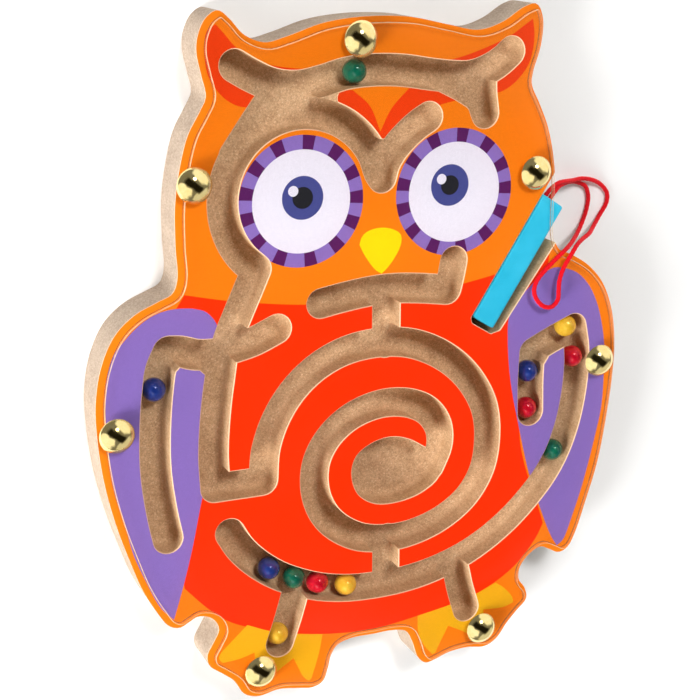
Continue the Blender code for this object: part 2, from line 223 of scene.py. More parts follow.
def rescale(tree, source, low, high, bottom=0.0, top=1.0):
    # What lies from low to high is stretched from bottom to top and held there past the ends.
    return addNode(tree, "MapRange", [("Value", source)], From_Min=low, From_Max=high,
                   To_Min=bottom, To_Max=top)


def combine(tree, operation, first, second, **settings):
    # Two values, each a source or a plain number, put through one sum.
    made = addNode(tree, "Math", operation=operation, **settings)
    for slot, value in enumerate((first, second)):
        if isinstance(value, (int, float)):
            made.inputs[slot].default_value = value
        else:
            tree.links.new(getattr(value, "outputs", [value])[0], made.inputs[slot])
    return made


def mixColour(tree, share, low, high, blend="MIX"):
    made = addNode(tree, "Mix", [(6, low), (7, high)], data_type="RGBA", blend_type=blend)
    if share is None:
        made.inputs["Factor"].default_value = 1.0
    else:
        tree.links.new(getattr(share, "outputs", [share])[0], made.inputs["Factor"])
    return made.outputs[2]


def ramp(tree, source, stops):
    # Colours at places along a scale that the source runs over.
    made = addNode(tree, "ValToRGB", [("Fac", source)])
    for stop, (place, colour) in zip(made.color_ramp.elements, stops):
        stop.position, stop.color = place, linear(colour)
    return made


# ---- wrist cord: one red cord, both ends glued in the pen's head

pen = {"foot": (33.44, 7.08), "angle": 57.2, "length": 38.9, "width": 7.8, "height": 7.0,
       "bottom": 4.6, "edge": 0.6, "magnetRadius": 2.4, "magnetLength": 4.0, "magnetGap": 0.3,
       "holeRadius": 2.1, "holeDepth": 6.0, "holeEase": 0.25, "mouthEase": (0.15, 0.1),
       "magnetFront": 0.1, "magnetEase": (0.25, 0.2), "seatShare": 0.6,
       "sides": 96, "magnetSides": 40}

cord = {"radius": 0.65, "spacing": 1.7, "strands": 3, "pitch": 4.2, "groove": 0.16, "inside": 5.0,
        "lead": 1.5, "step": 0.22, "sides": 18,
        "route": [(58.6, 42.6, 7.2), (61.8, 42.9, 5), (65, 42.7, 2.6), (68.5, 42, 1),
                  (71.3, 40.6, 0.8), (72.5, 37.6, 0.7), (72.1, 33.7, 0.7), (70.2, 29.6, 1.3),
                  (67.2, 28, 4.2), (63.6, 27.6, 8.4), (59.9, 27.1, 12.4), (56.9, 26, 14.4),
                  (54.5, 24.2, 14.5), (50.8, 20.9, 14.4), (48.4, 18.2, 14.4), (47.7, 15.5, 14.4),
                  (48.7, 12.8, 14.4), (51.1, 10.6, 14.4), (53.6, 10.3, 14.4), (55.4, 12, 14.4),
                  (55.6, 14.7, 14.4), (55.7, 17.4, 14.4), (56.8, 20.9, 14.4), (59.1, 24.7, 14.5),
                  (61.7, 27, 13.2), (65, 27.8, 10.6), (68.6, 28.4, 8), (72.7, 28.9, 3.5),
                  (76.4, 31.6, 0.9), (78.8, 35.3, 0.7), (78.8, 38, 0.7), (76.4, 40.8, 0.8),
                  (72.6, 42.6, 1.9), (68.5, 43.4, 2.9), (65, 43.4, 4.3), (61.5, 43.8, 6.4),
                  (57.8, 43.7, 7.9)]}


def penPoint(along, across, height=0.0):
    # From the pen's own length, left side and height above its middle to the board's frame.
    turn = math.radians(pen["angle"])
    x, y = math.cos(turn), math.sin(turn)
    return np.stack(np.broadcast_arrays(pen["foot"][0] + x * along - y * across,
                                        pen["foot"][1] + y * along + x * across,
                                        pen["bottom"] + pen["height"] / 2 + height), -1)


def tube(line, radiusOf, around):
    # A ring of points at each place along the line, in the plane across it; radiusOf takes the
    # length run so far and the angle round the line.
    along = np.gradient(line, axis=0)
    along /= np.linalg.norm(along, axis=1, keepdims=True)
    side = np.cross(along, (0, 0, 1.0))
    side /= np.linalg.norm(side, axis=1, keepdims=True)
    below = np.cross(along, side)
    run = np.r_[0, np.cumsum(np.linalg.norm(np.diff(line, axis=0), axis=1))][:, None]
    turn = np.linspace(0, 2 * math.pi, around, endpoint=False)[None]
    radius = radiusOf(run, turn)[..., None]
    return (line[:, None] + radius * (np.cos(turn)[..., None] * side[:, None]
                                      + np.sin(turn)[..., None] * below[:, None]))


def cordRadius(run, turn):
    # The strands stand out as lobes that wind once round in every pitch.
    phase = cord["strands"] / 2 * (turn - 2 * math.pi * run / cord["pitch"])
    return cord["radius"] * (1 - cord["groove"] * (1 - np.abs(np.cos(phase)) ** 0.7))


def makeCord(material):
    half, deep = cord["spacing"] / 2, pen["length"] - cord["inside"]
    out = pen["length"] + cord["lead"]
    start = [penPoint(deep, -half), penPoint(out, -half)]
    finish = [penPoint(out, half), penPoint(deep, half)]
    line = smoothLine(np.vstack([start, cord["route"], finish]), cord["step"])
    rings = tube(line, cordRadius, cord["sides"])
    piece = buildMesh("wristCord", *closedRings(rings, line[0], line[-1]), "pen", "cord",
                      [material], sharp=60)
    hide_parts("wrist_cord")
    tuple(penPoint(pen["length"], -half) * mm)


def cordMaterial():
    made, tree, place = newMaterial("twistedRedCord")
    fibres = addNode(tree, "TexNoise", [("Vector", place)], Scale=2600, Detail=3)
    colour = ramp(tree, fibres, [(0.3, (204, 4, 20)), (0.7, (232, 16, 34))])
    bump = addNode(tree, "Bump", [("Height", fibres)], Strength=0.5, Distance=0.00008)
    shader = addNode(tree, "BsdfPrincipled", [("Base Color", colour), ("Normal", bump)],
                     Roughness=0.6, Specular_IOR_Level=0.25)
    return finishMaterial(made, shader)


makeCord(cordMaterial())

# ---- board: routed fibreboard with a printed face, both laid out in one flat plan

board = {
    "top": 11.69, "sheetBottom": 11.71, "sheetTop": 12.0, "sheetRim": 11.82,
    "wall": 4.0, "rim": 4.22, "floor": 5.2, "corner": 2.2, "slotFloor": 4.3, "holeFloor": 3.6,
    "holeRadius": 1.25, "holeSides": 20, "arcPoints": 17, "tipPoints": 15, "step": 1.0,
    "rails": [18, 36, 54, 72],       # degrees up the rounded corner of a channel
    "outline": [
        (0, 91.6), (10, 91), (20, 88.9), (29.5, 87.1), (36.5, 88.9), (43, 92.6), (46.6, 93.2),
        (48.6, 89.5), (48.3, 82.5), (46.2, 75.5), (45.9, 72.3), (48.6, 66.8), (51.3, 60.8),
        (53.3, 53.5), (54.5, 45), (54.5, 36), (54.9, 29.5), (56.6, 26), (60.5, 24.2),
        (66.5, 20.4), (71.5, 14.8), (75, 6.5), (76.6, -4), (76.4, -14), (75.3, -25),
        (72.9, -40), (69.6, -51.5), (66.2, -61.8), (64, -65.7), (61, -66.9), (57.5, -65.2),
        (54.5, -63.9), (51, -65.6), (47.9, -69.3), (47.6, -73.2), (49.7, -76.3), (50.4, -80),
        (47.2, -83.4), (44, -86.8), (40.6, -91.2), (36.8, -92.9), (31, -92), (25, -92.3),
        (20, -93.8), (17.4, -94.2), (14.8, -91.8), (12.9, -86.4), (10.8, -82.6), (6.5, -81.4),
        (0, -81.3), (-6.5, -81.2), (-10.6, -82.4), (-12.6, -85.2), (-13.6, -89), (-15.2, -93),
        (-18.5, -94.2), (-22.5, -93.5), (-28.5, -92.5), (-34.8, -93.3), (-38.8, -91.6),
        (-41.6, -87), (-45.2, -83.8), (-48.6, -80.8), (-49.1, -77.6), (-47.2, -74),
        (-45.6, -70.4), (-47.4, -66.8), (-51.5, -65.4), (-54, -66.5), (-56.8, -67.7),
        (-59.8, -66.4), (-62.5, -62.4), (-66.3, -55), (-69.8, -45), (-72.9, -34.5),
        (-75.4, -22.5), (-76.6, -10), (-76.5, -1), (-74.6, 8.2), (-70.8, 15.8), (-65.5, 20.5),
        (-59.5, 23.2), (-55.6, 25), (-54.2, 28.5), (-54.4, 37), (-54.2, 47), (-52.8, 56),
        (-50.4, 64.4), (-47.2, 70), (-45.5, 73.6), (-46.5, 78.8), (-47.6, 84.5), (-47.1, 88.6),
        (-45, 92.6), (-41.9, 94.3), (-39, 92.2), (-35.4, 88.3), (-30, 86.2), (-24.5, 87.3),
        (-15, 90.2), (-7.5, 91.3)],
    "channels": {
        "brow": [(-37.9, 80.9), (-33.5, 78.3), (-28, 75.8), (-21.5, 74.9), (-15, 75.9),
                 (-8, 77.6), (0, 78.1), (8, 77.6), (15, 76.4), (21.5, 75.5), (27.5, 75.3),
                 (33, 76.9), (36.8, 79), (39.4, 81.1)],
        "browStub": [(31.2, 75.5), (31.3, 70.5), (32.1, 65.2)],
        "browLeftJoin": [(-38.4, 58.6), (-34.5, 64), (-30.5, 69.4), (-26, 74.6)],
        "browRightJoin": [(20, 75.4), (26, 72.3), (30.2, 69.3), (32.1, 65.2)],
        "foreheadArm": [(2.2, 50.2), (3.2, 53.6), (5.6, 57.4), (9.2, 61), (12.6, 63.6),
                        (15.4, 65.2)],
        "neck": [(-33.2, 28.8), (-35.4, 24), (-38.2, 18), (-40.8, 12.2), (-42, 8.5)],
        "shoulder": [(-41.5, 8.2), (-46, 7.9), (-50, 8.3), (-54, 9.6), (-57.2, 10)],
        "leftWing": [(-57.2, 10), (-59.3, 5.5), (-60.3, 0), (-61.1, -7), (-61.6, -15),
                     (-61.6, -22), (-61, -29), (-60, -36), (-59, -41.4)],
        "shoulderStub": [(-41.5, 8.4), (-34, 10), (-27.7, 12.5)],
        "leftSide": [(-42.5, 8.5), (-43.5, 2), (-44.6, -5), (-45.4, -12), (-45.9, -20),
                     (-45.6, -29.1)],
        "leftFootTurn": [(-45.6, -29.1), (-32.1, -29.3)],
        "spiral": [(-32.1, -29.3), (-31.3, -20.5), (-28.2, -12), (-23, -4.6), (-16, 1),
                   (-7.6, 4.4), (3, 5.3), (12.2, 3.7), (21.8, -1.2), (29.2, -8.2), (34.2, -17),
                   (35.6, -26), (34.2, -36), (29.5, -43.6), (21.8, -49), (12.5, -51.9),
                   (4, -52.2), (-5, -50), (-13, -43.9), (-16.9, -36), (-17, -27),
                   (-13.6, -20.2), (-7, -14.8), (2, -12.2), (10.5, -13), (16.6, -16.2),
                   (20, -21.3), (20.4, -27), (18, -33)],
        "chin": [(-15.2, 18.1), (-8, 19.2), (0, 20), (6, 20), (13, 19.3), (22, 17.9)],
        "chinStub": [(22, 17.9), (22.9, 21.5), (23.7, 25.8)],
        "chinLink": [(3.7, 20), (3.7, 5)],
        "bellyLink": [(4.2, -52), (4.2, -66)],
        "belly": [(-41.9, -42.6), (-39, -47.6), (-34.6, -52.6), (-28.6, -57.4), (-22, -61),
                  (-15, -63.7), (-7.5, -65.4), (0.5, -66.1), (8.5, -66.1), (16, -65.3),
                  (24, -63.4), (31, -60.8), (38, -57), (44.5, -52.3), (50.5, -46.6),
                  (55.2, -41), (59, -34.4), (61.8, -26.5), (63.4, -18.5), (64.1, -10.5),
                  (63.9, -4), (62.6, 2.6)],
        "rightShoulder": [(62.6, 2.6), (56, 0), (49.3, -3)],
        "rightWing": [(49.3, -3), (49.1, -12), (49.4, -21.1)],
        "leftFootStub": [(-22.8, -62), (-25.3, -70.5), (-28, -78.4)],
        "rightFootStub": [(26.2, -64), (28, -72), (30.2, -79.2)],
        "leftIslandEase": [(-57.9, 7.6), (-57.1, 8.4)],   # short passes that blunt corners
        "leftIslandEase2": [(-46.3, 7.1), (-45.1, 5.9)],
        "rightIslandEase": [(50.1, -4.7), (51.1, -3.2)],
        "foreheadEase": [(1.8, 56.2), (2.7, 56.2)]},
    "eyeArc": {"centre": (-20.0, 46.4), "radius": 21.8, "start": 233, "end": 14,
               "tail": (2.2, 50.2)},
    "pocket": [(-6.3, -31), (-4.8, -26.3), (0, -23.2), (5.5, -22.3), (10.5, -23.6),
               (15, -26.3), (20, -30), (20.5, -36), (15, -40.2), (6.5, -41.9), (0, -40.9),
               (-4.6, -37.2)],
    "bareTip": (-8.3, 71.4, 2.2, -17.0),   # the print's rounded end, short of an island's tip
    "slot": [(-1.5, 0.7), (-0.6, -0.5), (60, -0.5), (60, 12.4), (27, 10.9), (0.6, 9.6),
             (-1.4, 7.6)],           # along the pen from its foot, and across it from its left
    "nails": [(-4.7, 86.2), (-49.6, 52.3), (47.4, 48.4), (-71.9, -10.1), (70.6, -7.8),
              (-34.3, -84.9), (34.5, -85.7)]}

inks = {
    "orange": (246, 129, 18), "red": (254, 52, 4), "purple": (140, 112, 188),
    "earRed": (240, 66, 14), "white": (234, 229, 239), "darkWedge": (88, 30, 92),
    "iris": (70, 75, 138), "pupil": (34, 34, 38), "beak": (252, 220, 14),
    "claw": (238, 178, 28), "rim": (246, 208, 170),
    "paintedTopShade": 0.16, "paintedTopShadeSpan": 40}    # painted shade: how much darker the print is made towards the ears, and over what

# Printed shapes from the first laid to the last, each a list of smooth arcs that meet at corners.
prints = [
    ("red", [[(-54.8, 20.9), (-52.5, 24.3)],
             [(-52.5, 24.3), (-40, 21.4), (-20, 18.3), (0, 17.3), (20, 18.3), (40, 21.4),
              (53.5, 24.6)],
             [(53.5, 24.6), (52, 5), (46, -26), (55.1, -56.5)],
             [(55.1, -56.5), (52.9, -60.8), (45.2, -69.2), (33.3, -75.2), (15.2, -78.4),
              (0, -79.7), (-14.8, -78.2), (-31, -73.9), (-42.5, -68.8), (-48.6, -63.6),
              (-54.9, -56.5)],
             [(-54.9, -56.5), (-60, -20), (-54.8, 20.9)]]),
    ("purple", [[(-44, 12), (-44, 15.2), (-45.2, 17.5), (-47.1, 19.4), (-50.2, 20.5),
                 (-53.2, 20.9), (-57.1, 20.8), (-60.9, 19.8), (-64.8, 17.5), (-68.6, 14),
                 (-71.7, 10.2), (-73.6, 3.2), (-74.2, -4.5), (-74, -12.2), (-73.6, -19.8),
                 (-72.5, -27.5), (-70.7, -34), (-68.6, -43.8), (-65.5, -52.3),
                 (-61.7, -60.8), (-58.2, -65)],
                [(-58.2, -65), (-55.2, -55.4), (-52.5, -45.4), (-49, -30), (-46, -20),
                 (-44, 12)]]),
    ("purple", [[(60.2, -64.6), (57.9, -60.8), (53.7, -50.8), (50.2, -41.5), (46, -26),
                 (42.5, -10.6), (41.2, 1.7), (41.4, 8), (43.4, 12)],
                [(43.4, 12), (47.5, 16), (51.4, 19), (55.2, 20.8), (59.1, 20.2),
                 (62.9, 18.6), (66.8, 14.8), (69.8, 9.4), (71.8, 3.2), (73.2, -4.5),
                 (73.5, -13.7), (73.2, -22.9), (71.8, -30.5), (68.3, -45.4),
                 (65.2, -55.4), (62.2, -63.1), (60.2, -64.6)]]),
    ("earRed", [[(-42.5, 91), (-40.2, 88.4), (-37.8, 85.6), (-34.8, 83.2), (-30.2, 81.1),
                 (-25.5, 80), (-19.5, 79.2)],
                [(-19.5, 79.2), (-28, 76), (-34, 72), (-33.2, 70.4)],
                [(-33.2, 70.4), (-34.8, 70.5), (-37.1, 70.9), (-40.2, 72.6), (-42.8, 75.3),
                 (-44.8, 78.8), (-45.5, 82.6), (-45.5, 86.5), (-44.8, 89.5), (-42.5, 91)]]),
    ("earRed", [[(45.6, 89.4), (46.2, 85.7), (46, 81.8), (44.8, 77.6), (42.5, 74.5),
                 (39.8, 72.2), (36.8, 70.7), (34.5, 70.4)],
                [(34.5, 70.4), (33, 75), (26, 77), (20.6, 79.6)],
                [(20.6, 79.6), (25.2, 80.5), (29.8, 81.8), (34.5, 83.4), (39.1, 85.3),
                 (42.2, 87.2), (45.6, 89.4)]]),
    ("earRed", [[(-12.5, 73.6), (-6.3, 73.3)],
                [(-6.3, 73.3), (-1.5, 69), (1.5, 62.3)],
                [(1.5, 62.3), (4.6, 68), (9.8, 73.2)],
                [(9.8, 73.2), (18, 76), (25, 72), (25, 69.4)],
                [(25, 69.4), (19, 68.3)],
                [(19, 68.3), (10, 64), (2.2, 56)],
                [(2.2, 56), (-7.5, 65.5), (-12.5, 73.6)]]),
    ("beak", [[(-4.3, 32.8), (-3.6, 34.9), (-2, 36.2), (1.8, 36.9), (5.8, 36), (7.7, 34.5),
               (7.9, 32.6), (6.9, 29.9), (4.2, 26.2), (2.2, 24.4)],
              [(2.2, 24.4), (0.4, 25.6), (-2.6, 29.6), (-4.3, 32.8)]]),
    ("claw", [[(-37.5, -70.8), (-31, -73.9), (-22, -76.8), (-15.2, -78.2)],
              [(-15.2, -78.2), (-16.3, -83.8), (-18.6, -91.2)],
              [(-18.6, -91.2), (-19.4, -91.9), (-21.3, -90)],
              [(-21.3, -90), (-24, -83.8)],
              [(-24, -83.8), (-28.5, -86.6), (-34, -91)],
              [(-34, -91), (-35.2, -85), (-35.5, -79.6)],
              [(-35.5, -79.6), (-40, -80.6), (-44.8, -80.8)],
              [(-44.8, -80.8), (-45.9, -79.2), (-45.2, -77.7), (-40.9, -73.8),
               (-37.5, -70.8)]]),
    ("claw", [[(14.5, -78.5), (14.8, -83.8), (16.8, -88.5), (19.5, -91.9)],
              [(19.5, -91.9), (20.4, -91.6), (21, -90.4)],
              [(21, -90.4), (24.5, -83.7)],
              [(24.5, -83.7), (30.6, -87.3), (35, -91)],
              [(35, -91), (36.4, -86), (36, -80.8)],
              [(36, -80.8), (42.9, -81.3), (46, -80.4)],
              [(46, -80.4), (45.6, -78.5), (42.2, -74.6), (39.8, -72.9)],
              [(39.8, -72.9), (33.3, -75.3), (24, -77.2), (14.5, -78.5)]])]

eyes = {"centres": ((-20.5, 45.6), (23.4, 44.7)), "ring": 17.2, "white": 13.5, "wedges": 13,
        "wedgeStart": 0.4, "wedgeHalf": 6.0, "wedgeFoot": 0.97, "squeeze": 0.87,
        "irisAt": ((-20.2, 46.6), (22.0, 46.7)), "iris": (5.7, 5.6), "pupil": (2.85, 2.65),
        "glintAt": ((-22.8, 48.5), (19.5, 48.5)), "glint": 1.4,
        "sides": {"ring": 110, "white": 90, "iris": 60, "pupil": 40, "glint": 28}}


def strokeRing(line, radius):
    # The outline of a round pen of this radius drawn along the line, ends rounded.
    side = leftOf(line)
    count = max(5, int(round(math.pi * radius / board["step"])))
    sweep = -math.pi * np.arange(1, count) / count

    def cap(end, out):
        turn = math.atan2(out[1], out[0]) + sweep
        return end + radius * np.stack([np.cos(turn), np.sin(turn)], 1)

    return np.vstack([line + side * radius, cap(line[-1], side[-1]),
                      (line - side * radius)[::-1], cap(line[0], -side[0])])


def channelLines():
    # Every channel's centre line, with the arc round the left eye worked out from its circle.
    lines = dict(board["channels"])
    arc = board["eyeArc"]
    turn = np.radians(np.linspace(arc["start"], arc["end"], board["arcPoints"]))
    round_ = np.asarray(arc["centre"]) + arc["radius"] * np.stack([np.cos(turn), np.sin(turn)], 1)
    lines["eyeArc"] = np.vstack([round_, [arc["tail"]]])
    return {name: smoothLine(points, board["step"]) for name, points in lines.items()}


def fromSpans(points, start, end):
    # Shortest distance from each point to any of the straight spans, forty spans at a time.
    best = np.full(len(points), 1e9)
    for first in range(0, len(start), 40):
        p, q = start[None, first:first + 40], (end - start)[None, first:first + 40]
        share = (((points[:, None] - p) * q).sum(2) / np.maximum((q * q).sum(2), 1e-12)).clip(0, 1)
        best = np.minimum(best, np.linalg.norm(points[:, None] - p - share[..., None] * q,
                                               axis=2).min(1))
    return best


def fromLine(points, line, closed=False):
    # The same to a line's own spans.
    return fromSpans(points, *((line, np.roll(line, -1, 0)) if closed else (line[:-1], line[1:])))


def slotRing(grow=0.0):
    # The pen slot's outline, cut blunt at the corners by its foot, grown outwards by an amount.
    spots = np.asarray(board["slot"], float)
    corners = penPoint(spots[:, 0], pen["width"] / 2 - spots[:, 1])[:, :2]
    away = -leftOf(corners, closed=True) if polygonArea(corners) > 0 else leftOf(corners, True)
    return evenly(corners + away * grow, board["step"], True)


def polygonArea(ring):
    return 0.5 * np.sum(ring[:, 0] * np.roll(ring[:, 1], -1) - np.roll(ring[:, 0], -1) * ring[:, 1])


def eyeShapes():
    # Rings, wedges, whites, irises, pupils and glints, in the order they are printed.
    shapes, sides = [], eyes["sides"]
    for k, centre in enumerate(eyes["centres"]):
        shapes.append(("purple", circle(centre, eyes["ring"], sides["ring"])))
        for wedge in range(eyes["wedges"]):
            turn = math.radians(eyes["wedgeStart"] + wedge * 360 / eyes["wedges"])
            middle = math.atan2(eyes["squeeze"] * math.sin(turn), math.cos(turn))
            sweep = middle + np.radians(np.linspace(-eyes["wedgeHalf"], eyes["wedgeHalf"], 6))
            fan = np.stack([np.cos(sweep), np.sin(sweep)], 1)
            foot = eyes["white"] * eyes["wedgeFoot"]
            shapes.append(("darkWedge", centre + np.vstack([foot * fan, eyes["ring"] * fan[::-1]])))
        shapes.append(("white", circle(centre, eyes["white"], sides["white"])))
        for part in ("iris", "pupil"):
            shapes.append((part, circle(eyes["irisAt"][k], eyes[part][k], sides[part])))
        shapes.append(("white", circle(eyes["glintAt"][k], eyes["glint"], sides["glint"])))
    return shapes


def layOut():
    # One flat triangulation that keeps every outline as edges, and knows which outlines hold
    # each triangle.
    lines = channelLines()
    rings, kinds, rails = [], [], []

    def add(kind, ring):
        rings.append(ring if polygonArea(ring) > 0 else ring[::-1])
        kinds.append(kind)

    outline = smoothLine(board["outline"], board["step"], closed=True)
    add("outline", outline)
    flat = board["wall"] - board["corner"]
    steps = [flat + board["corner"] * math.sin(math.radians(turn)) for turn in board["rails"]]
    for line in lines.values():
        add("rim", strokeRing(line, board["rim"]))
        add("wall", strokeRing(line, board["wall"]))
        rails += [strokeRing(line, radius) for radius in [flat] + steps]
    pocket = smoothLine(board["pocket"], board["step"], closed=True)
    out = -leftOf(pocket, True) if polygonArea(pocket) > 0 else leftOf(pocket, True)
    add("rim", pocket + out * (board["rim"] - board["wall"]))
    pocketRing = len(rings)
    add("wall", pocket)
    rails += [pocket + out * (radius - board["wall"]) for radius in [flat] + steps]
    x, y, radius, far = board["bareTip"]
    turn = np.radians(np.linspace(90, 270, board["tipPoints"]))
    nose = np.stack([x + radius * np.cos(turn), y + radius * np.sin(turn)], 1)
    add("bare", np.vstack([[(far, y + radius)], nose, [(far, y - radius)]]))
    add("slotRim", slotRing(board["rim"] - board["wall"]))
    add("slot", slotRing())
    for nail in board["nails"]:
        add("hole", circle(nail, board["holeRadius"], board["holeSides"]))
    shapes = [(ink, cornered(arcs, board["step"])) for ink, arcs in prints] + eyeShapes()
    for ink, ring in shapes:
        add("ink " + ink, ring)
    points = np.vstack(rings + rails)
    at, faces, edges = 0, [], []
    for ring in rings:
        faces.append(list(range(at, at + len(ring))))
        at += len(ring)
    for ring in rails:
        spots = np.arange(at, at + len(ring))
        edges += np.stack([spots, np.roll(spots, -1)], 1).tolist()
        at += len(ring)
    made = delaunay_2d_cdt([Vector(p) for p in points.tolist()], edges, faces, 0, 1e-4, True)
    flatPoints = np.array([tuple(p) for p in made[0]])
    triangles = np.array(made[2])
    kindAt = np.array(kinds + [""])
    held = np.zeros((len(triangles), len(rings)), bool)
    row = np.repeat(np.arange(len(triangles)), [len(ids) for ids in made[5]])
    held[row, np.array([i for ids in made[5] for i in ids], int)] = True
    print(f"plan laid out: {len(flatPoints)} points, {len(triangles)} triangles")
    gauge = np.min([fromLine(flatPoints, line) for line in lines.values()], axis=0)
    inPocket = np.zeros(len(flatPoints), bool)
    inPocket[triangles[held[:, pocketRing]].reshape(-1)] = True
    edge = fromLine(flatPoints, pocket, closed=True)
    gauge = np.minimum(gauge, board["wall"] + np.where(inPocket, -edge, edge))
    return flatPoints, triangles, held, kindAt[:-1], gauge


def faceUp(points, triangles):
    # Flat triangles that run clockwise are turned round, in place.
    p, q, r = (points[triangles[:, k]] for k in range(3))
    turned = (q - p)[:, 0] * (r - p)[:, 1] - (q - p)[:, 1] * (r - p)[:, 0] < 0
    triangles[turned] = triangles[turned][:, ::-1]


def steppedSolid(points, triangles, level, heights, bottom, soften):
    # Each triangle stands at its own level's height; where two levels meet, an upright wall joins
    # them, and an outer wall runs down to the flat back, whose edge is softened.
    count = len(points)
    solid = triangles[level >= 0]
    faceUp(points, solid)
    own = np.repeat(level[level >= 0], 3)
    start, end = solid.reshape(-1), solid[:, [1, 2, 0]].reshape(-1)
    forward, backward = start * count + end, end * count + start
    order = np.argsort(forward)
    at = np.searchsorted(forward[order], backward).clip(max=len(order) - 1)
    other = np.where(forward[order][at] == backward, own[order][at], -1)
    z = np.stack(heights)
    drop = z[own, start] + z[own, end] - z[other, start] - z[other, end]
    inner, outer = (other >= 0) & (drop > 1e-6), other < 0
    back, belt = len(heights) * count, (len(heights) + 1) * count

    def wall(mask, low, high):
        return np.stack([low[mask] + start[mask], low[mask] + end[mask],
                         high[mask] + end[mask], high[mask] + start[mask]], 1)

    top = own * count
    out = np.zeros_like(points)
    edge = points[end[outer]] - points[start[outer]]
    normal = np.stack([edge[:, 1], -edge[:, 0]], 1) / np.linalg.norm(edge, axis=1, keepdims=True)
    np.add.at(out, start[outer], normal)
    np.add.at(out, end[outer], normal)
    out /= np.maximum(np.linalg.norm(out, axis=1, keepdims=True), 1e-9)
    blocks = [solid + level[level >= 0][:, None] * count, wall(inner, other * count, top),
              wall(outer, np.full_like(top, belt), top),
              wall(outer, np.full_like(top, back), np.full_like(top, belt)), solid[:, ::-1] + back]
    flat = [np.column_stack([points, height]) for height in heights]
    flat.append(np.column_stack([points - out * soften, np.full(count, bottom)]))
    flat.append(np.column_stack([points, np.full(count, bottom + soften)]))
    everything = np.vstack(flat)
    used, small = np.unique(np.concatenate([block.reshape(-1) for block in blocks]),
                            return_inverse=True)
    cuts = np.cumsum([block.size for block in blocks])[:-1]
    shaped = [part.reshape(block.shape) for part, block in zip(np.split(small, cuts), blocks)]
    return everything[used], shaped, [len(block) for block in blocks]


def wallDistance(points, triangles, level):
    # How far each point of the channels lies from the nearest channel wall.
    sides = triangles[:, [0, 1, 1, 2, 2, 0]].reshape(-1, 2)
    low, high = sides.min(1), sides.max(1)
    key, kind = low * len(points) + high, np.repeat(level, 3)
    routed = np.isin(key, key[kind == 1]) & np.isin(key, key[kind == 0])
    edge = np.unique(key[routed])
    away = np.full(len(points), 1e3)
    inside = np.unique(triangles[level == 1])
    away[inside] = fromSpans(points[inside], points[edge // len(points)],
                             points[edge % len(points)])
    return away


def fibreGroup():
    # Pressed wood fibre: broad cloudy tone, fine short fibres and pale flecks, as colour and
    # height.
    tree, given, out = newGroup("pressedFibre", {
        "Vector": "Vector", "Dark": "Color", "Light": "Color", "Fibre Scale": "Float",
        "Fleck": "Float"}, {"Color": "Color", "Height": "Float"})
    cloud = addNode(tree, "TexNoise", [("Vector", given["Vector"])], Scale=260, Detail=3,
                    Roughness=0.6)
    fibre = addNode(tree, "TexNoise", [("Vector", given["Vector"]),
                                       ("Scale", given["Fibre Scale"])],
                    Detail=4, Roughness=0.75, Distortion=0.2)
    both = combine(tree, "MULTIPLY_ADD", fibre, 2.6)
    tree.links.new(cloud.outputs[0], both.inputs[2])
    colour = mixColour(tree, rescale(tree, both, 1.2, 2.4), given["Dark"], given["Light"])
    speck = addNode(tree, "TexVoronoi", [("Vector", given["Vector"])], Scale=1150)
    weight = combine(tree, "MULTIPLY", rescale(tree, speck, 0.34, 0.12), given["Fleck"])
    tree.links.new(mixColour(tree, weight, colour, given["Light"], "SCREEN"), out["Color"])
    tree.links.new(fibre.outputs[0], out["Height"])
    return tree


def smudgeGroup():
    # Soft handling marks and dust over a smooth finish, as a mask and a height.
    tree, given, out = newGroup("handlingMarks", {"Vector": "Vector", "Scale": "Float"},
                                {"Mask": "Float", "Height": "Float"})
    soft = addNode(tree, "TexNoise", [("Vector", given["Vector"]), ("Scale", given["Scale"])],
                   Detail=5, Roughness=0.65)
    tree.links.new(rescale(tree, soft, 0.35, 0.7).outputs[0], out["Mask"])
    tree.links.new(soft.outputs[0], out["Height"])
    return tree


fibreNodes, smudgeNodes = fibreGroup(), smudgeGroup()


def fibreMaterial(name, floor, wall, streak):
    # Flat parts take one pair of tones and upright parts another, with cutter streaks on them.
    made, tree, place = newMaterial(name)
    flat = placeGroup(tree, fibreNodes, [("Vector", place)], Dark=linear(floor[0]),
                      Light=linear(floor[1]), Fibre_Scale=2000, Fleck=0.45)
    drawn = addNode(tree, "Mapping", [("Vector", place)], Scale=(1, 1, streak))
    upright = placeGroup(tree, fibreNodes, [("Vector", drawn)], Dark=linear(wall[0]),
                         Light=linear(wall[1]), Fibre_Scale=1900, Fleck=0.2)
    facing = addNode(tree, "NewGeometry").outputs["Normal"]
    parts = addNode(tree, "SeparateXYZ", [("Vector", facing)])
    level = addNode(tree, "Math", [(0, parts.outputs["Z"])], operation="ABSOLUTE")
    colour = mixColour(tree, rescale(tree, level, 0.25, 0.8), upright, flat)
    rough = rescale(tree, flat.outputs["Height"], 0, 1, 0.7, 0.95)
    bump = addNode(tree, "Bump", [("Height", flat.outputs["Height"])], Strength=0.8,
                   Distance=0.00025)
    shader = addNode(tree, "BsdfPrincipled", [("Base Color", colour), ("Roughness", rough),
                                              ("Normal", bump)])
    return finishMaterial(made, shader)


